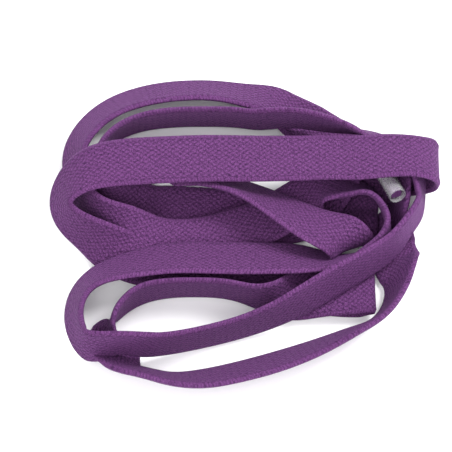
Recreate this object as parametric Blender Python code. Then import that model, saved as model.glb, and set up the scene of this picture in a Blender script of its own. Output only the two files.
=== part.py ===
"""A flat braided ribbon lace lying loosely folded on itself, with a clear film tip rolled round each end.

Units: metres, +Z up, X is the long side of the heap. Sizes below are in millimetres and scaled by MM."""

import bpy
import numpy as np

MM = 0.001

# Driving sizes, millimetres
LACE_WIDTH = 10.4
LACE_THICKNESS = 1.3
EDGE_ROUND = 0.45
TIP_HALF_WIDTH = 1.1
TIP_HALF_THICKNESS = 1.0
TIP_LENGTH = 8.0
TAPER_LENGTH = 7.0
AGLET_BORE_RADIUS = 1.6
AGLET_WALL = 0.25
AGLET_LENGTH = 7.2
SECTION_SPACING = 4.0
CONTACT_GAP = 0.35
SETTLE_ROUNDS = 60
FLOOR_REACH = 0.5
FLOOR_GAP = 0.25

# Way of the lace, hand chosen: x, y, z of its middle line in millimetres, then the direction in which its
# first edge lies, as azimuth and elevation in degrees
ROUTE = [
    # end 2, tucked under the top band, and the crossing band
    (-27.4, 12.6, 7.0, 88, 0), (-24.0, 12.4, 7.1, 88, 0), (-20.6, 12.2, 7.2, 87, 0),
    (-16.0, 11.9, 7.4, 86, -8), (-10, 10.8, 7.4, 80, -28), (-4, 8.4, 7.5, 66, -52),
    (3, 5.0, 7.6, 61, -50), (9, 1.2, 9.2, 61, -36), (15, -2.5, 9.7, 60, -24),
    (18.6, -4.1, 9.5, 50, -17),
    # the turn-down at its end and the strand that runs back under it
    (20.6, -5.2, 9.2, 38, -12), (22.5, -5.8, 7.2, 26, -5), (23.3, -6.6, 4.6, 16, 0),
    (23.2, -4.2, 2.3, 8, 0), (23.5, 1.4, 2.1, 0, 0), (24.0, 7.2, 0.65, 346, 0),
    (26.6, 11.2, 0.65, 308, 0), (31.0, 12.6, 0.65, 280, 0), (35.8, 12.8, 0.9, 271, 1),
    # the fold at the right-hand end of the top band
    (39.4, 12.4, 3.4, 270, 5), (40.6, 11.9, 7.8, 270, 9), (39.4, 11.4, 11.8, 270, 12),
    (36.0, 11.2, 13.3, 270, 12),
    # the top band
    (28.5, 11.2, 13.3, 270, 10), (20, 11.3, 13.1, 270, 6), (11, 11.2, 12.8, 270, 3),
    (2, 11.2, 12.6, 270, 0), (-7, 11.3, 12.5, 271, -2), (-16, 11.0, 12.5, 274, -3),
    (-24, 10.5, 12.5, 280, -2), (-30.0, 9.8, 12.2, 292, 4),
    # outermost left turn
    (-34.6, 8.2, 10.6, 314, 30), (-37.6, 5.8, 7.8, 340, 56), (-38.2, 3.0, 6.2, 6, 66),
    (-36.2, 0.0, 5.6, 36, 70), (-31.8, -2.8, 5.2, 58, 62), (-27.0, -5.4, 3.4, 68, 36),
    (-21.4, -7.4, 1.4, 74, 8), (-15.0, -8.2, 0.65, 82, 0), (-7.0, -8.2, 0.65, 84, 0),
    (0.5, -9.2, 0.65, 78, 0), (7.0, -11.0, 0.65, 76, 0), (13.0, -13.0, 0.65, 80, 0),
    # the lower right fold
    (20.0, -14.2, 0.65, 86, 0), (26.6, -14.4, 0.65, 90, 0), (29.4, -14.4, 2.3, 90, 0),
    (26.6, -14.5, 3.6, 90, 1), (19.4, -14.7, 3.8, 90, 4), (13.0, -15.6, 4.2, 92, 14),
    (8.6, -16.8, 5.2, 96, 48), (4.0, -17.0, 5.5, 98, 84),
    # inner side of the lower loop
    (-2.0, -15.0, 5.5, 95, 90), (-9.0, -14.2, 5.5, 90, 90), (-16.0, -14.2, 5.5, 80, 88),
    (-21.8, -16.2, 5.5, 50, 84), (-25.6, -19.6, 5.4, 24, 80), (-27.6, -23.0, 5.4, 8, 84),
    (-27.2, -26.6, 1.6, 12, 2), (-24.6, -31.0, 4.9, 44, -62),
    # outer lower strand, rim outwards
    (-20.4, -32.8, 4.9, 68, -64), (-15.4, -34.4, 4.9, 82, -62), (-9.0, -34.4, 4.6, 96, -52),
    (-1.0, -32.8, 4.6, 104, -50), (7.4, -30.4, 4.6, 110, -50), (15.6, -27.4, 4.8, 116, -56),
    (23.0, -23.8, 5.2, 124, -66), (28.8, -19.4, 5.4, 134, -70), (32.2, -14.2, 5.2, 152, -66),
    (32.2, -9.4, 3.8, 168, -44), (30.8, -6.2, 0.65, 176, 0), (30.6, -2.6, 0.8, 180, -2),
    # up the right side under the top band
    (31.8, 1.2, 4.6, 184, -58), (33.4, 4.8, 5.8, 188, -74), (31.6, 9.0, 4.2, 196, -42),
    (29.6, 12.6, 2.9, 208, -20), (25.8, 15.6, 1.9, 222, -6), (21.6, 18.8, 0.65, 234, 0),
    (16.6, 22.4, 0.65, 246, 2), (10.8, 26.0, 1.9, 256, 9), (4.4, 28.2, 3.6, 264, 32),
    # outer top strand
    (-4.0, 30.2, 4.6, 268, 44), (-12.0, 30.4, 4.6, 272, 44), (-20.4, 29.2, 4.6, 280, 44),
    (-28.2, 26.0, 4.7, 298, 46), (-33.4, 20.8, 4.8, 320, 50), (-35.6, 15.0, 4.8, 340, 58),
    (-35.0, 9.6, 4.9, 356, 68), (-33.2, 5.4, 5.4, 12, 72), (-30.8, 2.0, 5.6, 36, 66),
    (-27.0, -0.4, 5.2, 58, 46), (-21.8, -2.9, 4.9, 76, 12), (-14.6, -3.9, 3.4, 92, 0),
    (-7.6, -3.2, 3.1, 100, 0), (-1.6, -1.4, 3.2, 108, 0), (4.2, 0.65, 3.5, 112, -4),
    (9.4, 3.8, 4.2, 114, -8),
    # inner right turn
    (14.6, 6.6, 5.2, 110, -14), (19.3, 7.5, 6.2, 97, -32), (24.0, 7.2, 6.9, 76, -56),
    (27.8, 5.6, 6.9, 46, -66), (30.0, 3.0, 6.6, 14, -80), (30.2, -0.6, 7.4, 350, -84),
    (28.7, -4.2, 7.8, 140, -84), (25.2, -7.3, 7.6, 122, -74), (20.0, -9.3, 7.4, 106, -54),
    (14.0, -9.2, 7.7, 97, -36), (8.0, -9.2, 7.8, 92, -31), (1.4, -9.1, 7.8, 88, -31),
    (-5.6, -9.2, 7.8, 88, -31), (-12.6, -9.5, 7.8, 90, -31), (-19.6, -10.0, 7.4, 98, -36),
    # outer left turn of the lower loop
    (-26.2, -10.8, 6.8, 112, -44), (-32.2, -13.8, 6.2, 134, -54), (-34.6, -18.4, 6.0, 164, -64),
    (-34.4, -23.2, 6.4, 190, -70), (-32.0, -27.1, 7.9, 222, -76), (-27.8, -29.1, 8.4, 254, -80),
    (-21.0, -28.4, 7.5, 276, -84), (-13.6, -26.8, 6.0, 284, -86), (-6.0, -25.0, 5.6, 286, -86),
    (1.8, -22.7, 5.8, 288, -84), (8.4, -20.4, 7.4, 294, -80), (14.0, -17.6, 8.8, 300, -74),
    (19.4, -14.2, 9.2, 304, -74), (25.2, -10.4, 9.0, 302, -76), (30.6, -7.0, 8.4, 308, -78),
    (34.2, -3.0, 7.8, 326, -82),
    # outermost right side
    (36.4, 1.8, 7.5, 350, -84), (37.0, 6.2, 7.5, 8, -78), (35.8, 10.6, 7.7, 22, -62),
    (32.8, 14.6, 7.9, 40, -54), (28.0, 17.2, 8.0, 55, -60), (22.2, 19.8, 8.4, 66, -76),
    (16.0, 21.5, 8.3, 76, -86), (9.0, 22.5, 8.0, 84, -88), (0.6, 23.4, 6.4, 90, -88),
    (-8.0, 23.9, 5.5, 92, -87), (-16.4, 23.6, 5.5, 98, -87), (-24.4, 21.6, 5.5, 118, -84),
    (-29.6, 17.4, 5.4, 144, -82), (-31.4, 12.2, 5.2, 166, -80), (-30.8, 8.0, 5.0, 190, -74),
    (-28.0, 5.2, 3.8, 226, -42), (-23.2, 4.6, 2.0, 254, -12), (-17.0, 5.0, 0.65, 266, 0),
    (-10.0, 4.6, 0.65, 268, 0), (-3.0, 4.0, 0.65, 266, 0), (3.4, 2.8, 0.65, 264, 0),
    (9.4, 1.9, 0.65, 274, 0),
    # end 1
    (14.8, 3.6, 0.9, 294, 0), (18.6, 8.8, 1.8, 306, 4), (21.8, 13.6, 4.0, 294, 12),
    (25.8, 15.0, 6.8, 264, 14), (28.4, 13.0, 8.2, 212, 8), (29.6, 9.6, 9.2, 195, 4),
    (30.8, 6.2, 10.5, 195, 2), (32.1, 2.9, 11.8, 195, 0),
]


def hermite(knots, values, at):
    """Smooth curve through values, by chord length."""
    d = np.diff(knots)
    s = np.diff(values, axis=0) / d[:, None]
    m = np.empty_like(values)
    m[1:-1] = (d[1:, None] * s[:-1] + d[:-1, None] * s[1:]) / (d[1:] + d[:-1])[:, None]
    m[0], m[-1] = s[0], s[-1]
    i = np.clip(np.searchsorted(knots, at, side="right") - 1, 0, len(d) - 1)
    h = d[i]
    x = ((at - knots[i]) / h)[:, None]
    h = h[:, None]
    return ((2*x**3 - 3*x**2 + 1) * values[i] + (x**3 - 2*x**2 + x) * h * m[i]
            + (3*x**2 - 2*x**3) * values[i + 1] + (x**3 - x**2) * h * m[i + 1])


def blur(a, k, n):
    """Gaussian smoothing along the lace."""
    pad = np.concatenate([np.repeat(a[:1], k, 0), a, np.repeat(a[-1:], k, 0)])
    g = np.exp(-0.5 * (np.arange(-k, k + 1) / n) ** 2)
    g /= g.sum()
    out = np.zeros_like(a)
    for j in range(2 * k + 1):
        out += g[j] * pad[j:j + len(a)]
    return out


def unit(v):
    return v / np.linalg.norm(v, axis=1)[:, None]


def frame_of(c, w):
    t = unit(np.gradient(c, axis=0))
    w = unit(w - (w * t).sum(1)[:, None] * t)
    return t, w, np.cross(t, w)


def route(stations, step):
    """Even samples of the middle line and edge direction."""
    s = np.array(stations, float)
    az, el = np.radians(s[:, 3]), np.radians(s[:, 4])
    w = np.c_[np.cos(el) * np.cos(az), np.cos(el) * np.sin(az), np.sin(el)]
    k = np.r_[0, np.cumsum(np.linalg.norm(np.diff(s[:, :3], axis=0), axis=1))]
    fine = np.linspace(0, k[-1], 4000)
    c, w = hermite(k, s[:, :3], fine), hermite(k, w, fine)
    run = np.r_[0, np.cumsum(np.linalg.norm(np.diff(c, axis=0), axis=1))]
    n = int(round(run[-1] / step))
    even = np.linspace(0, run[-1], n + 1)
    c = np.c_[[np.interp(even, run, c[:, j]) for j in range(3)]].T
    w = np.c_[[np.interp(even, run, w[:, j]) for j in range(3)]].T
    c, w = blur(c, 4, 1.2), blur(w, 4, 1.6)
    return c, w, even[1]


def settle(c, w, step, rounds, clear):
    """Moves touching strands apart a little, keeps the lace above the floor and its course smooth."""
    across = np.array([-1, -0.6, -0.2, 0.2, 0.6, 1.0]) * (LACE_WIDTH / 2 - 0.3)
    m, n = len(across), len(c)
    thin = widths(n, step)[0] / (LACE_WIDTH / 2)
    own = np.repeat(np.arange(n), m)
    for turn in range(rounds):
        t, w, nrm = frame_of(c, w)
        p = (c[:, None] + w[:, None] * across[None, :, None] * thin[:, None, None]).reshape(-1, 3)
        push = np.zeros_like(p)
        order = np.argsort(p[:, 0], kind="stable")
        x = p[order, 0]
        right = np.searchsorted(x, x + clear)
        for a in range(len(p)):
            if right[a] - a < 2:
                continue
            near = order[a + 1:right[a]]
            i = order[a]
            near = near[np.abs(own[near] - own[i]) * step > 9]
            if not len(near):
                continue
            r = p[i] - p[near]
            d = np.sqrt((r * r).sum(1))
            hit = d < clear
            if not hit.any():
                continue
            r, d, near = r[hit], d[hit], near[hit]
            f = (0.5 * (clear - d) / np.maximum(d, 1e-3))[:, None] * r
            push[i] += f.sum(0) / len(f)
            np.add.at(push, near, -f / len(f))
        push = push.reshape(n, m, 3)
        size = np.linalg.norm(push, axis=2)[:, :, None]
        push *= np.minimum(1, 0.5 / np.maximum(size, 1e-6))
        top = push.max(1) + push.min(1)
        c = c + 0.6 * blur(top, 4, 1.6)
        tilt = (push * across[None, :, None]).sum(1) / (across ** 2).sum()
        w = w + 0.6 * blur(tilt, 4, 1.6)
        w = unit(w)
        t, w, nrm = frame_of(c, w)
        low = c[:, 2] - np.abs(w[:, 2]) * LACE_WIDTH / 2 * thin - np.abs(nrm[:, 2]) * LACE_THICKNESS / 2
        c[:, 2] += np.maximum(0, -low)
    return c, w


def lie_flat(c, w, step):
    """Lays the stretches that are all but on the floor exactly on it, and lifts what is left below it."""
    c, w = c.copy(), w.copy()
    flat = (c[:, 2] < LACE_THICKNESS / 2 + FLOOR_REACH) & (np.abs(w[:, 2]) < 0.08)
    c[flat, 2] = LACE_THICKNESS / 2
    w[flat, 2] = 0
    t, w, nrm = frame_of(c, w)
    half, thick = widths(len(c), step)
    low = c[:, 2] - np.abs(w[:, 2]) * half - np.abs(nrm[:, 2]) * LACE_THICKNESS / 2
    c[:, 2] += np.where(flat, 0, np.maximum(0, FLOOR_GAP - low))
    return c, w

def widths(n, step):
    """Half width and half thickness along the lace: full, drawn together into a round tip at both ends."""
    s = np.arange(n) * step
    from_end = np.minimum(s, s[-1] - s)
    x = np.clip((from_end - TIP_LENGTH) / TAPER_LENGTH, 0, 1)
    x = x * x * (3 - 2 * x)
    return (
        TIP_HALF_WIDTH + (LACE_WIDTH / 2 - TIP_HALF_WIDTH) * x,
        TIP_HALF_THICKNESS + (LACE_THICKNESS / 2 - TIP_HALF_THICKNESS) * x,
    )


def lace_rings(c, w, nrm, half, thick):
    """Closed rings of the flat section with rounded edges, ten points each."""
    corner = np.array(
        [(-1, 0), (-1, 1), (-0.75, 2), (0.75, 2), (1, 1), (1, 0), (1, -1), (0.75, -2), (-0.75, -2), (-1, -1)],
        float,
    )
    rings = []
    for i in range(len(c)):
        ring = []
        for a, b in corner:
            side = a * half[i] if abs(b) == 0 else a * (half[i] - (EDGE_ROUND * 0.35 if abs(b) == 1 else 0.2))
            up = np.sign(b) * thick[i] * (0.0, 0.7, 1.0)[int(abs(b))]
            ring.append(c[i] + w[i] * side + nrm[i] * up)
        rings.append(ring)
    return np.array(rings)


def add_body(name, verts, faces, material, collection):
    mesh = bpy.data.meshes.new(name)
    mesh.from_pydata([tuple(float(k) * MM for k in v) for v in verts], [], faces)
    mesh.materials.append(material)
    mesh.validate()
    body = bpy.data.objects.new(name, mesh)
    collection.objects.link(body)
    return body


def swept(rings):
    """Skin a list of rings into one closed body with fan ends."""
    n, m = rings.shape[:2]
    verts = list(rings.reshape(-1, 3)) + [rings[0].mean(0), rings[-1].mean(0)]
    faces = []
    for i in range(n - 1):
        for j in range(m):
            k = (j + 1) % m
            a, b, c, d = i * m + j, i * m + k, (i + 1) * m + k, (i + 1) * m + j
            faces += [(a, c, b), (a, d, c)]
    for j in range(m):
        k = (j + 1) % m
        faces.append((n * m, j, k))
        faces.append((n * m + 1, (n - 1) * m + k, (n - 1) * m + j))
    return verts, faces


def tube(start, end, inner, outer, sides=16):
    """Thin open tube between two points."""
    axis = (end - start) / np.linalg.norm(end - start)
    a = np.cross(axis, (0, 0, 1.0))
    a /= np.linalg.norm(a)
    b = np.cross(axis, a)
    loops = []
    for at, r in ((start, outer), (end, outer), (end, inner), (start, inner)):
        for j in range(sides):
            q = 2 * np.pi * j / sides
            loops.append(at + r * (np.cos(q) * a + np.sin(q) * b))
    faces = []
    for i in range(4):
        for j in range(sides):
            k = (j + 1) % sides
            p = (i + 1) % 4
            faces += [
                (i * sides + j, i * sides + k, p * sides + k),
                (i * sides + j, p * sides + k, p * sides + j),
            ]
    return loops, faces


def material(name, colour, rough):
    m = bpy.data.materials.new(name)
    m.use_nodes = True
    shader = m.node_tree.nodes["Principled BSDF"]
    shader.inputs["Base Color"].default_value = (*colour, 1)
    shader.inputs["Roughness"].default_value = rough
    return m


def volume(verts, faces):
    v = np.array(verts)
    f = np.array(faces)
    return (np.cross(v[f[:, 0]], v[f[:, 1]]) * v[f[:, 2]]).sum() / 6


for item in list(bpy.data.objects):
    bpy.data.objects.remove(item)
group = bpy.data.collections.new("ribbon_lace")
bpy.context.scene.collection.children.link(group)

centre, wide, step = route(ROUTE, 2.0)
centre, wide = settle(centre, wide, step, SETTLE_ROUNDS, LACE_THICKNESS + CONTACT_GAP)
for last, inner in ((0, 5), (-1, -6)):
    for k in range(6):
        pick = last + k if last == 0 else last - k
        centre[pick] = centre[last] + (centre[inner] - centre[last]) * k / 5
        wide[pick] = wide[inner]
centre, wide = lie_flat(centre, wide, step)
knots = np.arange(len(centre)) * step
count = int(round(knots[-1] / SECTION_SPACING)) + 1
at = np.linspace(0, knots[-1], count)
centre, wide = hermite(knots, centre, at), hermite(knots, wide, at)
along, wide, normal = frame_of(centre, wide)
half, thick = widths(count, at[1])
rings = lace_rings(centre, wide, normal, half, thick)
rings[:, :, 2] = np.maximum(rings[:, :, 2], 0)
parts = {"lace": swept(rings)}
for name, tip, inner in (
    ("aglet_visible_end", centre[-1], centre[-3]),
    ("aglet_hidden_end", centre[0], centre[2]),
):
    way = (tip - inner) / np.linalg.norm(tip - inner)
    parts[name] = tube(
        tip + way * 0.6,
        tip + way * (0.6 - AGLET_LENGTH),
        AGLET_BORE_RADIUS,
        AGLET_BORE_RADIUS + AGLET_WALL,
    )

everything = np.concatenate([np.array(v) for v, f in parts.values()])
shift = np.array(
    [
        (everything[:, 0].min() + everything[:, 0].max()) / 2,
        (everything[:, 1].min() + everything[:, 1].max()) / 2,
        everything[:, 2].min(),
    ]
)
purple = material("lace_fabric", (0.21, 0.065, 0.26), 0.9)
film_a = material("aglet_film_visible", (0.86, 0.87, 0.88), 0.15)
film_b = material("aglet_film_hidden", (0.86, 0.87, 0.88), 0.15)
for name, coat in (("lace", purple), ("aglet_visible_end", film_a), ("aglet_hidden_end", film_b)):
    verts, faces = parts[name]
    if volume(verts, faces) < 0:
        faces = [tuple(reversed(f)) for f in faces]
    add_body(name, [np.array(v) - shift for v in verts], faces, coat, group)
print(
    "length", round(float(np.linalg.norm(np.diff(centre, axis=0), axis=1).sum()), 1), "shift", shift.round(3)
)
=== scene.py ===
"""A flat braided ribbon lace lying folded on itself, with a clear film tip round each end.

Units: metres, +Z up. The course of the lace is the one that its solid follows. The weave, the selvages and
the film are made here."""

import math

import bpy
import numpy as np
from mathutils import Matrix, Vector


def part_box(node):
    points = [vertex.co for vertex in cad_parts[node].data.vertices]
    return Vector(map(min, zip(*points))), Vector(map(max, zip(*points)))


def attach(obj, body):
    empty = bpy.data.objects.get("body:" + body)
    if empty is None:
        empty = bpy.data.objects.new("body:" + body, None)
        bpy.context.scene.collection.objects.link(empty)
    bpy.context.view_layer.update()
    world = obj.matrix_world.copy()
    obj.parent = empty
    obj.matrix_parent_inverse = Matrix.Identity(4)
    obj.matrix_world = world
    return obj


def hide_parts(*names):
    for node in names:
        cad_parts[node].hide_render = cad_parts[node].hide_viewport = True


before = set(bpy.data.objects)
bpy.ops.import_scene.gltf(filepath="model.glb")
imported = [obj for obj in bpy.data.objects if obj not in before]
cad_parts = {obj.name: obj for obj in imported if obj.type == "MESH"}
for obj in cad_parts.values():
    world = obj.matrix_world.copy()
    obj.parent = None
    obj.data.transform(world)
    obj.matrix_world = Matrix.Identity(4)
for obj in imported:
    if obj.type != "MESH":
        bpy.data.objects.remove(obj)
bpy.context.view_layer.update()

# The lace
LACE_WIDTH = 0.0104
LACE_THICKNESS = 0.0013
TIP_HALF_WIDTH = 0.0011
TIP_HALF_THICKNESS = 0.001
TIP_LENGTH = 0.008
TAPER_LENGTH = 0.007
SELVAGE_WIDTH = 0.0008

# Its section, as shares of the half width and half thickness: flat in the middle, with a bead near each edge
SECTION_STEPS = 12
RIM_SHARE = 0.16
RIM_DRAW = 0.012
RIM_ROUNDNESS = 0.88
MIDDLE_THICKNESS = 0.86
BEAD_THICKNESS = 0.14
BEAD_PLACE = 0.86
BEAD_REACH = 0.09

# Sampling along the lace
ROUGH_SAMPLES = 4000
SAMPLE_STEP = 0.002
FINE_STEP = 0.00055
BLUR_REACH = 4
MIDDLE_BLUR = 1.2
EDGE_BLUR = 1.6

# How strands that touch settle, and how the lowest of them lie on the floor
CONTACT_GAP = 0.00035
SETTLE_ROUNDS = 60
SETTLE_SHARE = 0.6
STEP_LIMIT = 0.0005
OWN_STRETCH = 0.009
EDGE_MARGIN = 0.0003
ACROSS_SHARES = (-1, -0.6, -0.2, 0.2, 0.6, 1.0)
FLOOR_REACH = 0.0005
FLOOR_GAP = 0.00025
FLAT_TILT = 0.08
STRAIGHT_SAMPLES = 5

# The weave
STITCH_LENGTH = 0.00145
STITCH_WIDTH = 0.001
EDGE_LOOP_PITCH = 0.0007
MM = 1000
WANDER_SCALE = 0.9
WANDER = 0.9
SWAY_SCALE = 1.3
SWAY = 0.7
YARN_SCALE = 5.0
CLOUD_SCALE = 1.7
STITCH_BASE = 0.45
STITCH_CROWN = 0.55
EDGE_LOOP_SLANT = 1.6
EDGE_LOOP_WANDER = 2.2
GROOVE_PLACE = 4.25
GROOVE_SHARPNESS = 5.0
TICK_WANDER = 1.5
TICK_SHARPNESS = 3.0
TICK_DEPTH_AND_SHADE = 0.3
YARN_HEIGHT = 0.5
LOOP_HEIGHT = 0.6
LOOP_BASE = 0.3
WEAVE_BUMP = 0.55
WEAVE_DEPTH = 0.00022

# How light the weave's colour is, with painted shade between stitches and selvage loops, and how rough it is
STITCH_SHADE = 0.85
STITCH_SHADE_BASE = 0.15
STITCH_SHADE_CURVE = 0.8
LOOP_SHADE = 0.4
LOOP_SHADE_BASE = 0.5
FLECK_START = 0.48
FLECK_CONTRAST = 2.4
CLOUD_START = 0.52
CLOUD_CONTRAST = 2.6
FABRIC_ROUGHNESS = 0.92
CROWN_SMOOTHNESS = 0.12
FABRIC_SHEEN = 0.12
SHEEN_ROUGHNESS = 0.5
FABRIC_SPECULAR = 0.12
NOISE_DETAIL = 3.0
CLOUD_DETAIL = 4.0

# The film tips
AGLET_RADIUS = 0.00185
AGLET_WALL = 0.00025
AGLET_LENGTH = 0.0072
AGLET_OVERHANG = 0.0006
TIP_AIM_SAMPLES = 7
FILM_SIDES = 48
FILM_CUTS = 6
LAP_HEIGHT = 0.00008
LAP_ANGLE = 0.25
FILM_RIM_DRAW = 0.00005
FILM_RIM_REACH = 0.0004
FILM_RIM_ROUND = 0.00006
FILM_CORNER = math.radians(40)
CREASE_SCALE = 900.0
CREASE_BUMP = 0.3
CREASE_DEPTH = 0.0001
FILM_CLOUD_SCALE = 300.0
FILM_CLOUD_DETAIL = 2.0
FILM_ROUGHNESS = 0.1
FILM_ROUGHNESS_RANGE = 0.15
FILM_ALPHA = 0.06
FILM_ALPHA_RANGE = 0.16
FILM_COAT = 0.6

# Colours, linear
PURPLE = (0.098, 0.029, 0.114)
# PURPLE_DEEP is the painted shade between stitches, between selvage loops and in the groove ticks, and the
# colour of the random dark clouds
PURPLE_DEEP = (0.012, 0.002, 0.020)
PURPLE_PALE = (0.21, 0.082, 0.245)
SHEEN_VIOLET = (0.6, 0.25, 0.75)
FILM_MILKY = (0.80, 0.81, 0.84)
FILM_CLEAR = (0.95, 0.95, 0.96)
PAPER = (0.93, 0.93, 0.94)

# Camera, floor and light
VIEW_ELEVATION = math.radians(68)
VIEW_DISTANCE = 0.6
VIEW_WIDTH = 0.094
VIEW_AIM = (-0.00343, -0.00079, 0.005)
SENSOR_WIDTH = 36
FLOOR_SIZE = 3
FLOOR_DROP = 0.00005
WORLD_STRENGTH = 1.05
KEY_PLACE, KEY_SIZE, KEY_POWER = (0.42, 0.26, 0.66), 0.30, 7.5
FRONT_PLACE, FRONT_SIZE, FRONT_POWER = (-0.12, -0.42, 0.62), 0.5, 4.0

# Places of the colour sockets on a Mix node
MIX_FACTOR, MIX_FIRST, MIX_SECOND, MIX_RESULT = 0, 6, 7, 2

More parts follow.
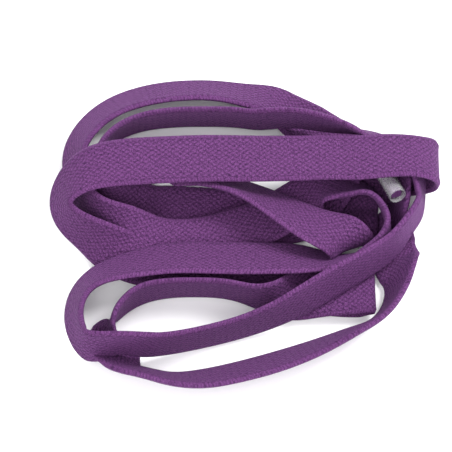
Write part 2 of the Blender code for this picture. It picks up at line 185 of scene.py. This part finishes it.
# Way of the lace: its middle line, then the direction in which its first edge lies, as azimuth and
# elevation in degrees
ROUTE = [
    # end 2, tucked under the top band, and the crossing band
    (-0.0274, 0.0126, 0.007, 88, 0), (-0.024, 0.0124, 0.0071, 88, 0), (-0.0206, 0.0122, 0.0072, 87, 0),
    (-0.016, 0.0119, 0.0074, 86, -8), (-0.01, 0.0108, 0.0074, 80, -28),
    (-0.004, 0.0084, 0.0075, 66, -52), (0.003, 0.005, 0.0076, 61, -50),
    (0.009, 0.0012, 0.0092, 61, -36), (0.015, -0.0025, 0.0097, 60, -24),
    (0.0186, -0.0041, 0.0095, 50, -17),
    # the turn-down at its end and the strand that runs back under it
    (0.0206, -0.0052, 0.0092, 38, -12), (0.0225, -0.0058, 0.0072, 26, -5),
    (0.0233, -0.0066, 0.0046, 16, 0), (0.0232, -0.0042, 0.0023, 8, 0), (0.0235, 0.0014, 0.0021, 0, 0),
    (0.024, 0.0072, 0.00065, 346, 0), (0.0266, 0.0112, 0.00065, 308, 0),
    (0.031, 0.0126, 0.00065, 280, 0), (0.0358, 0.0128, 0.0009, 271, 1),
    # the fold at the right-hand end of the top band
    (0.0394, 0.0124, 0.0034, 270, 5), (0.0406, 0.0119, 0.0078, 270, 9),
    (0.0394, 0.0114, 0.0118, 270, 12), (0.036, 0.0112, 0.0133, 270, 12),
    # the top band
    (0.0285, 0.0112, 0.0133, 270, 10), (0.02, 0.0113, 0.0131, 270, 6), (0.011, 0.0112, 0.0128, 270, 3),
    (0.002, 0.0112, 0.0126, 270, 0), (-0.007, 0.0113, 0.0125, 271, -2),
    (-0.016, 0.011, 0.0125, 274, -3), (-0.024, 0.0105, 0.0125, 280, -2),
    (-0.03, 0.0098, 0.0122, 292, 4),
    # outermost left turn
    (-0.0346, 0.0082, 0.0106, 314, 30), (-0.0376, 0.0058, 0.0078, 340, 56),
    (-0.0382, 0.003, 0.0062, 6, 66), (-0.0362, 0, 0.0056, 36, 70), (-0.0318, -0.0028, 0.0052, 58, 62),
    (-0.027, -0.0054, 0.0034, 68, 36), (-0.0214, -0.0074, 0.0014, 74, 8),
    (-0.015, -0.0082, 0.00065, 82, 0), (-0.007, -0.0082, 0.00065, 84, 0),
    (0.0005, -0.0092, 0.00065, 78, 0), (0.007, -0.011, 0.00065, 76, 0),
    (0.013, -0.013, 0.00065, 80, 0),
    # the lower right fold
    (0.02, -0.0142, 0.00065, 86, 0), (0.0266, -0.0144, 0.00065, 90, 0),
    (0.0294, -0.0144, 0.0023, 90, 0), (0.0266, -0.0145, 0.0036, 90, 1),
    (0.0194, -0.0147, 0.0038, 90, 4), (0.013, -0.0156, 0.0042, 92, 14),
    (0.0086, -0.0168, 0.0052, 96, 48), (0.004, -0.017, 0.0055, 98, 84),
    # inner side of the lower loop
    (-0.002, -0.015, 0.0055, 95, 90), (-0.009, -0.0142, 0.0055, 90, 90),
    (-0.016, -0.0142, 0.0055, 80, 88), (-0.0218, -0.0162, 0.0055, 50, 84),
    (-0.0256, -0.0196, 0.0054, 24, 80), (-0.0276, -0.023, 0.0054, 8, 84),
    (-0.0272, -0.0266, 0.0016, 12, 2), (-0.0246, -0.031, 0.0049, 44, -62),
    # outer lower strand, rim outwards
    (-0.0204, -0.0328, 0.0049, 68, -64), (-0.0154, -0.0344, 0.0049, 82, -62),
    (-0.009, -0.0344, 0.0046, 96, -52), (-0.001, -0.0328, 0.0046, 104, -50),
    (0.0074, -0.0304, 0.0046, 110, -50), (0.0156, -0.0274, 0.0048, 116, -56),
    (0.023, -0.0238, 0.0052, 124, -66), (0.0288, -0.0194, 0.0054, 134, -70),
    (0.0322, -0.0142, 0.0052, 152, -66), (0.0322, -0.0094, 0.0038, 168, -44),
    (0.0308, -0.0062, 0.00065, 176, 0), (0.0306, -0.0026, 0.0008, 180, -2),
    # up the right side under the top band
    (0.0318, 0.0012, 0.0046, 184, -58), (0.0334, 0.0048, 0.0058, 188, -74),
    (0.0316, 0.009, 0.0042, 196, -42), (0.0296, 0.0126, 0.0029, 208, -20),
    (0.0258, 0.0156, 0.0019, 222, -6), (0.0216, 0.0188, 0.00065, 234, 0),
    (0.0166, 0.0224, 0.00065, 246, 2), (0.0108, 0.026, 0.0019, 256, 9),
    (0.0044, 0.0282, 0.0036, 264, 32),
    # outer top strand
    (-0.004, 0.0302, 0.0046, 268, 44), (-0.012, 0.0304, 0.0046, 272, 44),
    (-0.0204, 0.0292, 0.0046, 280, 44), (-0.0282, 0.026, 0.0047, 298, 46),
    (-0.0334, 0.0208, 0.0048, 320, 50), (-0.0356, 0.015, 0.0048, 340, 58),
    (-0.035, 0.0096, 0.0049, 356, 68), (-0.0332, 0.0054, 0.0054, 12, 72),
    (-0.0308, 0.002, 0.0056, 36, 66), (-0.027, -0.0004, 0.0052, 58, 46),
    (-0.0218, -0.0029, 0.0049, 76, 12), (-0.0146, -0.0039, 0.0034, 92, 0),
    (-0.0076, -0.0032, 0.0031, 100, 0), (-0.0016, -0.0014, 0.0032, 108, 0),
    (0.0042, 0.00065, 0.0035, 112, -4), (0.0094, 0.0038, 0.0042, 114, -8),
    # inner right turn
    (0.0146, 0.0066, 0.0052, 110, -14), (0.0193, 0.0075, 0.0062, 97, -32),
    (0.024, 0.0072, 0.0069, 76, -56), (0.0278, 0.0056, 0.0069, 46, -66),
    (0.03, 0.003, 0.0066, 14, -80), (0.0302, -0.0006, 0.0074, 350, -84),
    (0.0287, -0.0042, 0.0078, 140, -84), (0.0252, -0.0073, 0.0076, 122, -74),
    (0.02, -0.0093, 0.0074, 106, -54), (0.014, -0.0092, 0.0077, 97, -36),
    (0.008, -0.0092, 0.0078, 92, -31), (0.0014, -0.0091, 0.0078, 88, -31),
    (-0.0056, -0.0092, 0.0078, 88, -31), (-0.0126, -0.0095, 0.0078, 90, -31),
    (-0.0196, -0.01, 0.0074, 98, -36),
    # outer left turn of the lower loop
    (-0.0262, -0.0108, 0.0068, 112, -44), (-0.0322, -0.0138, 0.0062, 134, -54),
    (-0.0346, -0.0184, 0.006, 164, -64), (-0.0344, -0.0232, 0.0064, 190, -70),
    (-0.032, -0.0271, 0.0079, 222, -76), (-0.0278, -0.0291, 0.0084, 254, -80),
    (-0.021, -0.0284, 0.0075, 276, -84), (-0.0136, -0.0268, 0.006, 284, -86),
    (-0.006, -0.025, 0.0056, 286, -86), (0.0018, -0.0227, 0.0058, 288, -84),
    (0.0084, -0.0204, 0.0074, 294, -80), (0.014, -0.0176, 0.0088, 300, -74),
    (0.0194, -0.0142, 0.0092, 304, -74), (0.0252, -0.0104, 0.009, 302, -76),
    (0.0306, -0.007, 0.0084, 308, -78), (0.0342, -0.003, 0.0078, 326, -82),
    # outermost right side
    (0.0364, 0.0018, 0.0075, 350, -84), (0.037, 0.0062, 0.0075, 8, -78),
    (0.0358, 0.0106, 0.0077, 22, -62), (0.0328, 0.0146, 0.0079, 40, -54),
    (0.028, 0.0172, 0.008, 55, -60), (0.0222, 0.0198, 0.0084, 66, -76),
    (0.016, 0.0215, 0.0083, 76, -86), (0.009, 0.0225, 0.008, 84, -88),
    (0.0006, 0.0234, 0.0064, 90, -88), (-0.008, 0.0239, 0.0055, 92, -87),
    (-0.0164, 0.0236, 0.0055, 98, -87), (-0.0244, 0.0216, 0.0055, 118, -84),
    (-0.0296, 0.0174, 0.0054, 144, -82), (-0.0314, 0.0122, 0.0052, 166, -80),
    (-0.0308, 0.008, 0.005, 190, -74), (-0.028, 0.0052, 0.0038, 226, -42),
    (-0.0232, 0.0046, 0.002, 254, -12), (-0.017, 0.005, 0.00065, 266, 0),
    (-0.01, 0.0046, 0.00065, 268, 0), (-0.003, 0.004, 0.00065, 266, 0),
    (0.0034, 0.0028, 0.00065, 264, 0), (0.0094, 0.0019, 0.00065, 274, 0),
    # end 1
    (0.0148, 0.0036, 0.0009, 294, 0), (0.0186, 0.0088, 0.0018, 306, 4),
    (0.0218, 0.0136, 0.004, 294, 12), (0.0258, 0.015, 0.0068, 264, 14),
    (0.0284, 0.013, 0.0082, 212, 8), (0.0296, 0.0096, 0.0092, 195, 4),
    (0.0308, 0.0062, 0.0105, 195, 2), (0.0321, 0.0029, 0.0118, 195, 0),
]


def hermite(knots, values, at):
    """Smooth curve through values, by chord length."""
    spans = np.diff(knots)
    slopes = np.diff(values, axis=0) / spans[:, None]
    ends = np.empty_like(values)
    both = (spans[1:] + spans[:-1])[:, None]
    ends[1:-1] = (spans[1:, None] * slopes[:-1] + spans[:-1, None] * slopes[1:]) / both
    ends[0], ends[-1] = slopes[0], slopes[-1]
    i = np.clip(np.searchsorted(knots, at, side="right") - 1, 0, len(spans) - 1)
    h = spans[i]
    x = ((at - knots[i]) / h)[:, None]
    h = h[:, None]
    return (
        (2 * x**3 - 3 * x**2 + 1) * values[i]
        + (x**3 - 2 * x**2 + x) * h * ends[i]
        + (3 * x**2 - 2 * x**3) * values[i + 1]
        + (x**3 - x**2) * h * ends[i + 1]
    )


def blur(rows, width):
    """Gaussian smoothing along the lace."""
    reach = BLUR_REACH
    padded = np.concatenate([np.repeat(rows[:1], reach, 0), rows, np.repeat(rows[-1:], reach, 0)])
    shares = np.exp(-0.5 * (np.arange(-reach, reach + 1) / width) ** 2)
    shares /= shares.sum()
    smooth = np.zeros_like(rows)
    for j in range(2 * reach + 1):
        smooth += shares[j] * padded[j : j + len(rows)]
    return smooth


def unit(rows):
    return rows / np.linalg.norm(rows, axis=1)[:, None]


def frame_of(middle, edge):
    """Directions along the lace, across it and out of its face."""
    forward = unit(np.gradient(middle, axis=0))
    edge = unit(edge - (edge * forward).sum(1)[:, None] * forward)
    return forward, edge, np.cross(forward, edge)


def run_along(points):
    return np.r_[0, np.cumsum(np.linalg.norm(np.diff(points, axis=0), axis=1))]


def route(stations, step):
    """Even samples of the middle line and edge direction, and the distance between them."""
    table = np.array(stations, float)
    azimuth, elevation = np.radians(table[:, 3]), np.radians(table[:, 4])
    edge = np.c_[
        np.cos(elevation) * np.cos(azimuth), np.cos(elevation) * np.sin(azimuth), np.sin(elevation)
    ]
    knots = run_along(table[:, :3])
    fine = np.linspace(0, knots[-1], ROUGH_SAMPLES)
    middle, edge = hermite(knots, table[:, :3], fine), hermite(knots, edge, fine)
    run = run_along(middle)
    even = np.linspace(0, run[-1], int(round(run[-1] / step)) + 1)
    middle = np.c_[[np.interp(even, run, middle[:, j]) for j in range(3)]].T
    edge = np.c_[[np.interp(even, run, edge[:, j]) for j in range(3)]].T
    return blur(middle, MIDDLE_BLUR), blur(edge, EDGE_BLUR), even[1]


def widths(count, step):
    """Half width and half thickness along the lace: full, drawn together into a round tip at both ends."""
    run = np.arange(count) * step
    from_end = np.minimum(run, run[-1] - run)
    x = np.clip((from_end - TIP_LENGTH) / TAPER_LENGTH, 0, 1)
    x = x * x * (3 - 2 * x)
    return (
        TIP_HALF_WIDTH + (LACE_WIDTH / 2 - TIP_HALF_WIDTH) * x,
        TIP_HALF_THICKNESS + (LACE_THICKNESS / 2 - TIP_HALF_THICKNESS) * x,
    )


def settle(middle, edge, step, rounds, clear):
    """Moves touching strands apart a little, keeps the lace above the floor and its course smooth."""
    across = np.array(ACROSS_SHARES) * (LACE_WIDTH / 2 - EDGE_MARGIN)
    columns, count = len(across), len(middle)
    thin = widths(count, step)[0] / (LACE_WIDTH / 2)
    own = np.repeat(np.arange(count), columns)
    for _ in range(rounds):
        _, edge, normal = frame_of(middle, edge)
        sideways = edge[:, None] * across[None, :, None] * thin[:, None, None]
        points = (middle[:, None] + sideways).reshape(-1, 3)
        push = np.zeros_like(points)
        order = np.argsort(points[:, 0], kind="stable")
        x = points[order, 0]
        right = np.searchsorted(x, x + clear)
        for a in range(len(points)):
            if right[a] - a < 2:
                continue
            near = order[a + 1 : right[a]]
            i = order[a]
            near = near[np.abs(own[near] - own[i]) * step > OWN_STRETCH]
            if not len(near):
                continue
            away = points[i] - points[near]
            distance = np.sqrt((away * away).sum(1))
            hit = distance < clear
            if not hit.any():
                continue
            away, distance, near = away[hit], distance[hit], near[hit]
            share = (0.5 * (clear - distance) / np.maximum(distance, 1e-6))[:, None] * away
            push[i] += share.sum(0) / len(share)
            np.add.at(push, near, -share / len(share))
        push = push.reshape(count, columns, 3)
        size = np.linalg.norm(push, axis=2)[:, :, None]
        push *= np.minimum(1, STEP_LIMIT / np.maximum(size, 1e-9))
        middle = middle + SETTLE_SHARE * blur(push.max(1) + push.min(1), EDGE_BLUR)
        tilt = (push * across[None, :, None]).sum(1) / (across**2).sum()
        edge = unit(edge + SETTLE_SHARE * blur(tilt, EDGE_BLUR))
        _, edge, normal = frame_of(middle, edge)
        drop = np.abs(edge[:, 2]) * LACE_WIDTH / 2 * thin
        low = middle[:, 2] - drop - np.abs(normal[:, 2]) * LACE_THICKNESS / 2
        middle[:, 2] += np.maximum(0, -low)
    return middle, edge


def lie_flat(middle, edge, step):
    """Lays the stretches that are all but on the floor exactly on it, and lifts what is left below it."""
    middle, edge = middle.copy(), edge.copy()
    flat = (middle[:, 2] < LACE_THICKNESS / 2 + FLOOR_REACH) & (np.abs(edge[:, 2]) < FLAT_TILT)
    middle[flat, 2] = LACE_THICKNESS / 2
    edge[flat, 2] = 0
    _, edge, normal = frame_of(middle, edge)
    half = widths(len(middle), step)[0]
    low = middle[:, 2] - np.abs(edge[:, 2]) * half - np.abs(normal[:, 2]) * LACE_THICKNESS / 2
    middle[:, 2] += np.where(flat, 0, np.maximum(0, FLOOR_GAP - low))
    return middle, edge


def settled_lace():
    """The course of the lace as its solid has it, before it is set in the frame."""
    middle, edge, step = route(ROUTE, SAMPLE_STEP)
    middle, edge = settle(middle, edge, step, SETTLE_ROUNDS, LACE_THICKNESS + CONTACT_GAP)
    for tip, inward in ((0, 1), (-1, -1)):
        inner = tip + inward * STRAIGHT_SAMPLES
        for k in range(STRAIGHT_SAMPLES + 1):
            pick = tip + inward * k
            middle[pick] = middle[tip] + (middle[inner] - middle[tip]) * k / STRAIGHT_SAMPLES
            edge[pick] = edge[inner]
    middle, edge = lie_flat(middle, edge, step)
    return middle, edge, step


def section_points():
    """The woven section as (across, up) shares: round edges a little fuller than the middle."""
    upper = []
    for k in range(SECTION_STEPS + 1):
        a = -1 + 2 * k / SECTION_STEPS
        rim = 1 - min(1, (1 - abs(a)) / RIM_SHARE)
        bead = math.exp(-(((abs(a) - BEAD_PLACE) / BEAD_REACH) ** 2))
        fullness = MIDDLE_THICKNESS + BEAD_THICKNESS * bead
        closing = math.sqrt(max(0.0, 1 - rim**2 * RIM_ROUNDNESS))
        upper.append((a * (1 - RIM_DRAW * rim), fullness * closing))
    return upper + [(1.0, 0.0)] + [(a, -b) for a, b in reversed(upper)] + [(-1.0, 0.0)]


def lace_mesh(middle, edge, normal, half, thick, step):
    """One closed skin over the woven section. Its UV map is in millimetres, along the lace and across it."""
    section = section_points()
    n, m = len(middle), len(section)
    verts = []
    for i in range(n):
        for a, b in section:
            verts.append(middle[i] + edge[i] * (a * half[i]) + normal[i] * (b * thick[i]))
    verts = [(float(v[0]), float(v[1]), max(0.0, float(v[2]))) for v in verts]
    faces = []
    for i in range(n - 1):
        for j in range(m):
            k = (j + 1) % m
            faces.append((i * m + j, i * m + k, (i + 1) * m + k, (i + 1) * m + j))
    faces.append(tuple(range(m - 1, -1, -1)))
    faces.append(tuple((n - 1) * m + j for j in range(m)))
    mesh = bpy.data.meshes.new("woven_lace")
    mesh.from_pydata(verts, [], faces)
    layer = mesh.uv_layers.new(name="UVMap")
    where = [(i * step * MM, section[j][0] * LACE_WIDTH * MM / 2) for i in range(n) for j in range(m)]
    for loop in mesh.loops:
        layer.data[loop.index].uv = where[loop.vertex_index]
    for face in mesh.polygons:
        face.use_smooth = len(face.vertices) == 4
    made = bpy.data.objects.new("woven_lace", mesh)
    bpy.context.scene.collection.objects.link(made)
    return made


class Value:
    """A node's output that takes part in Python sums."""

    def __init__(self, shader, socket):
        self.shader, self.socket = shader, socket

    def _math(self, operation, *terms):
        return self.shader.node("ShaderNodeMath", {"operation": operation}, dict(enumerate(terms)))

    def __add__(self, other):
        return self._math("ADD", self, other)

    def __sub__(self, other):
        return self._math("SUBTRACT", self, other)

    def __mul__(self, other):
        return self._math("MULTIPLY", self, other)

    def __truediv__(self, other):
        return self._math("DIVIDE", self, other)

    def __rsub__(self, other):
        return self._math("SUBTRACT", other, self)

    def __mod__(self, other):
        return self._math("FLOORED_MODULO", self, other)

    __radd__ = __add__
    __rmul__ = __mul__

    def floor(self):
        return self._math("FLOOR", self)

    def size(self):
        return self._math("ABSOLUTE", self)

    def sine(self):
        return self._math("SINE", self)

    def over(self, limit):
        return self._math("GREATER_THAN", self, limit)

    def power(self, other):
        return self._math("POWER", self, other)

    def beside(self, place):
        """Another output of the same node."""
        return Value(self.shader, self.socket.node.outputs[place])


class Shader:
    """A Principled material and the one way its other nodes are added."""

    def __init__(self, name):
        self.material = bpy.data.materials.new(name)
        self.material.use_nodes = True
        self.tree = self.material.node_tree
        self.surface = self.tree.nodes["Principled BSDF"]

    def put(self, socket, value):
        """Links an input to a value, or sets it to a number or a colour."""
        if isinstance(value, Value):
            self.tree.links.new(value.socket, socket)
        else:
            socket.default_value = (*value, 1) if isinstance(value, tuple) else value

    def node(self, kind, settings, sockets, output=0):
        """Adds a node: its settings first, then its inputs by name or place."""
        made = self.tree.nodes.new(kind)
        for key, setting in settings.items():
            setattr(made, key, setting)
        for place, value in sockets.items():
            self.put(made.inputs[place], value)
        return Value(self, made.outputs[output])

    def colour_mix(self, factor, first, second):
        sockets = {MIX_FACTOR: factor, MIX_FIRST: first, MIX_SECOND: second}
        return self.node("ShaderNodeMix", {"data_type": "RGBA"}, sockets, MIX_RESULT)

    def noise(self, where, scale, detail, flat=False):
        settings = {"noise_dimensions": "2D"} if flat else {}
        sockets = {"Vector": where, "Scale": scale, "Detail": detail}
        return self.node("ShaderNodeTexNoise", settings, sockets)

    def clamp(self, value):
        return self.node("ShaderNodeClamp", {}, {"Value": value, "Min": 0.0, "Max": 1.0})

    def bump(self, strength, distance, height):
        sockets = {"Strength": strength, "Distance": distance, "Height": height}
        return self.node("ShaderNodeBump", {}, sockets)

    def feed(self, name, value):
        self.put(self.surface.inputs[name], value)


def woven_fabric():
    """Flat plaited polyester: two sets of slanting stitches over and under each other, looped selvages."""
    s = Shader("plaited_fabric")
    uv = s.node("ShaderNodeUVMap", {"uv_map": "UVMap"}, {})
    along = s.node("ShaderNodeSeparateXYZ", {}, {"Vector": uv})
    across = along.beside("Y")
    shift = (s.noise(uv, WANDER_SCALE, NOISE_DETAIL, flat=True) - 0.5) * WANDER
    skew = (s.noise(uv, SWAY_SCALE, NOISE_DETAIL, flat=True) - 0.5) * SWAY
    yarns = s.noise(uv, YARN_SCALE, NOISE_DETAIL, flat=True)
    clouds = s.noise(uv, CLOUD_SCALE, CLOUD_DETAIL, flat=True)

    # The two sets of stitches, and which of them lies on top
    lengthwise = along / (STITCH_LENGTH * MM)
    sideways = across / (STITCH_WIDTH * MM)
    first = lengthwise + sideways + shift
    second = lengthwise - sideways + skew
    first_round = (first % 1 * math.pi).sine()
    second_round = (second % 1 * math.pi).sine()
    over = (first.floor() + second.floor()) % 2
    first_lift = first_round * (STITCH_BASE + second_round * STITCH_CROWN)
    second_lift = second_round * (STITCH_BASE + first_round * STITCH_CROWN)
    lift = first_lift * over + second_lift * (1 - over)

    # The selvage's loops, and the ticks in the groove beside it: dents in the bump, whose darkness in the
    # colour is painted shade
    in_selvage = across.size().over((LACE_WIDTH / 2 - SELVAGE_WIDTH) * MM)
    loop_turns = along * (math.pi / (EDGE_LOOP_PITCH * MM)) + across * EDGE_LOOP_SLANT
    loops = (loop_turns + shift * EDGE_LOOP_WANDER).sine().size()
    groove = (1 - ((across.size() - GROOVE_PLACE) * GROOVE_SHARPNESS).size()).over(0.0)
    tick_turns = along * (math.pi / (2 * EDGE_LOOP_PITCH * MM)) + skew * TICK_WANDER
    tick = tick_turns.sine().size().power(TICK_SHARPNESS) * groove

    height = lift * (1 - in_selvage) + (loops * LOOP_HEIGHT + LOOP_BASE) * in_selvage
    height = height - tick * TICK_DEPTH_AND_SHADE + yarns * YARN_HEIGHT
    # Painted shade: the colour is darker down between the stitches and between the selvage loops, and
    # lighter on their crowns
    stitch_shade = lift.power(STITCH_SHADE_CURVE) * STITCH_SHADE + STITCH_SHADE_BASE
    loop_shade = loops * LOOP_SHADE + LOOP_SHADE_BASE
    shade = stitch_shade * (1 - in_selvage) + loop_shade * in_selvage
    body = s.colour_mix(shade, PURPLE_DEEP, PURPLE)
    flecked = s.colour_mix(s.clamp((yarns - FLECK_START) * FLECK_CONTRAST), body, PURPLE_PALE)
    cloudy = s.colour_mix(s.clamp((clouds - CLOUD_START) * CLOUD_CONTRAST), flecked, PURPLE_DEEP)
    # Painted shade: the colour darkens in the ticks of the groove beside each selvage
    s.feed("Base Color", s.colour_mix(tick * TICK_DEPTH_AND_SHADE, cloudy, PURPLE_DEEP))
    s.feed("Roughness", FABRIC_ROUGHNESS - lift * CROWN_SMOOTHNESS)
    s.feed("Normal", s.bump(WEAVE_BUMP, WEAVE_DEPTH, height))
    s.feed("Sheen Weight", FABRIC_SHEEN)
    s.feed("Sheen Tint", SHEEN_VIOLET)
    s.feed("Sheen Roughness", SHEEN_ROUGHNESS)
    s.feed("Specular IOR Level", FABRIC_SPECULAR)
    return s.material


def clear_film(name):
    """Rolled clear film, faintly milky, with fine creases round it."""
    s = Shader(name)
    where = s.node("ShaderNodeTexCoord", {}, {}, "Object")
    creases = s.noise(where, CREASE_SCALE, NOISE_DETAIL)
    clouds = s.noise(where, FILM_CLOUD_SCALE, FILM_CLOUD_DETAIL)
    s.feed("Base Color", s.colour_mix(clouds, FILM_MILKY, FILM_CLEAR))
    s.feed("Roughness", FILM_ROUGHNESS + creases * FILM_ROUGHNESS_RANGE)
    s.feed("Alpha", FILM_ALPHA + clouds * FILM_ALPHA_RANGE)
    s.feed("Coat Weight", FILM_COAT)
    s.feed("Normal", s.bump(CREASE_BUMP, CREASE_DEPTH, creases))
    return s.material


def film_tip(name, tip, inner, film):
    """A rolled film tube round one end, with softened rims and a lap seam along it."""
    way = (tip - inner) / np.linalg.norm(tip - inner)
    middle = Vector([float(k) for k in tip + way * (AGLET_OVERHANG - AGLET_LENGTH / 2)])
    bpy.ops.object.select_all(action="DESELECT")
    bpy.ops.mesh.primitive_cylinder_add(
        vertices=FILM_SIDES,
        radius=AGLET_RADIUS - AGLET_WALL / 2,
        depth=AGLET_LENGTH,
        end_fill_type="NOTHING",
    )
    tube = bpy.context.object
    tube.name = name
    bpy.ops.object.mode_set(mode="EDIT")
    bpy.ops.mesh.select_all(action="SELECT")
    bpy.ops.mesh.subdivide(number_cuts=FILM_CUTS)
    bpy.ops.object.mode_set(mode="OBJECT")
    for v in tube.data.vertices:
        angle = math.atan2(v.co.y, v.co.x)
        lap = LAP_HEIGHT * math.exp(-((angle / LAP_ANGLE) ** 2))
        rim = FILM_RIM_DRAW * math.exp(-(((AGLET_LENGTH / 2 - abs(v.co.z)) / FILM_RIM_REACH) ** 2))
        grow = 1 + (lap - rim) / AGLET_RADIUS
        v.co.x *= grow
        v.co.y *= grow
    wall = tube.modifiers.new("wall", "SOLIDIFY")
    wall.thickness = AGLET_WALL
    wall.offset = 0
    rims = tube.modifiers.new("rims", "BEVEL")
    rims.width = FILM_RIM_ROUND
    rims.segments = 2
    rims.limit_method = "ANGLE"
    rims.angle_limit = FILM_CORNER
    bpy.ops.object.modifier_apply(modifier="wall")
    bpy.ops.object.modifier_apply(modifier="rims")
    turn = Vector((0, 0, 1)).rotation_difference(Vector([float(k) for k in way])).to_matrix().to_4x4()
    tube.data.transform(Matrix.Translation(middle) @ turn)
    bpy.ops.object.shade_smooth_by_angle(angle=FILM_CORNER)
    tube.data.materials.clear()
    tube.data.materials.append(film)
    return tube


# The lace, set where its solid stands
centre, wide, step = settled_lace()
knots = np.arange(len(centre)) * step
count = int(round(knots[-1] / FINE_STEP)) + 1
at = np.linspace(0, knots[-1], count)
centre, wide = hermite(knots, centre, at), hermite(knots, wide, at)
_, wide, normal = frame_of(centre, wide)
half, thick = widths(count, at[1])
edges = np.concatenate([centre + wide * half[:, None], centre - wide * half[:, None]])
low, high = (np.array(v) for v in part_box("lace"))
offsets = [(low[k] + high[k] - edges[:, k].min() - edges[:, k].max()) / 2 for k in (0, 1)]
place = np.array(offsets + [0.0])
centre = centre + place

lace = lace_mesh(centre, wide, normal, half, thick, at[1])
lace.data.materials.append(woven_fabric())
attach(lace, "root")
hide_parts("lace")

# The film tips
for node, tip, inner in (
    ("aglet_visible_end", centre[-1], centre[-1 - TIP_AIM_SAMPLES]),
    ("aglet_hidden_end", centre[0], centre[TIP_AIM_SAMPLES]),
):
    film = film_tip(node + "_film", tip, inner, clear_film(node + "_clear"))
    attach(film, "root")
    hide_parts(node)

# The camera: above and in front, far off with a long lens
aim = Vector((VIEW_AIM[0] + float(place[0]), VIEW_AIM[1] + float(place[1]), VIEW_AIM[2]))
camera_data = bpy.data.cameras.new("camera")
camera_data.sensor_width = SENSOR_WIDTH
camera_data.lens = SENSOR_WIDTH * VIEW_DISTANCE / VIEW_WIDTH
camera = bpy.data.objects.new("camera", camera_data)
bpy.context.scene.collection.objects.link(camera)
towards_camera = Vector((0, -math.cos(VIEW_ELEVATION), math.sin(VIEW_ELEVATION)))
camera.location = aim + towards_camera * VIEW_DISTANCE
camera.rotation_euler = (math.pi / 2 - VIEW_ELEVATION, 0, 0)
bpy.context.scene.camera = camera

# Plain floor and soft light
bpy.ops.object.select_all(action="DESELECT")
bpy.ops.mesh.primitive_plane_add(size=FLOOR_SIZE, location=(0, 0, -FLOOR_DROP))
floor = bpy.context.object
floor.name = "pale_floor"
paper = Shader("pale_paper")
paper.feed("Base Color", PAPER)
paper.feed("Roughness", 0.9)
floor.data.materials.append(paper.material)


def area_light(name, place, size, power):
    """A square lamp that faces the middle of the floor."""
    data = bpy.data.lights.new(name, "AREA")
    data.shape = "SQUARE"
    data.size = size
    data.energy = power
    lamp = bpy.data.objects.new(name, data)
    bpy.context.scene.collection.objects.link(lamp)
    lamp.location = place
    lamp.rotation_euler = (-Vector(place)).to_track_quat("-Z", "Y").to_euler()
    return lamp


area_light("key", KEY_PLACE, KEY_SIZE, KEY_POWER)
area_light("front", FRONT_PLACE, FRONT_SIZE, FRONT_POWER)
world = bpy.data.worlds.new("studio")
world.use_nodes = True
world.node_tree.nodes["Background"].inputs["Color"].default_value = (1, 1, 1, 1)
world.node_tree.nodes["Background"].inputs["Strength"].default_value = WORLD_STRENGTH
bpy.context.scene.world = world
bpy.context.scene.view_settings.view_transform = "Standard"
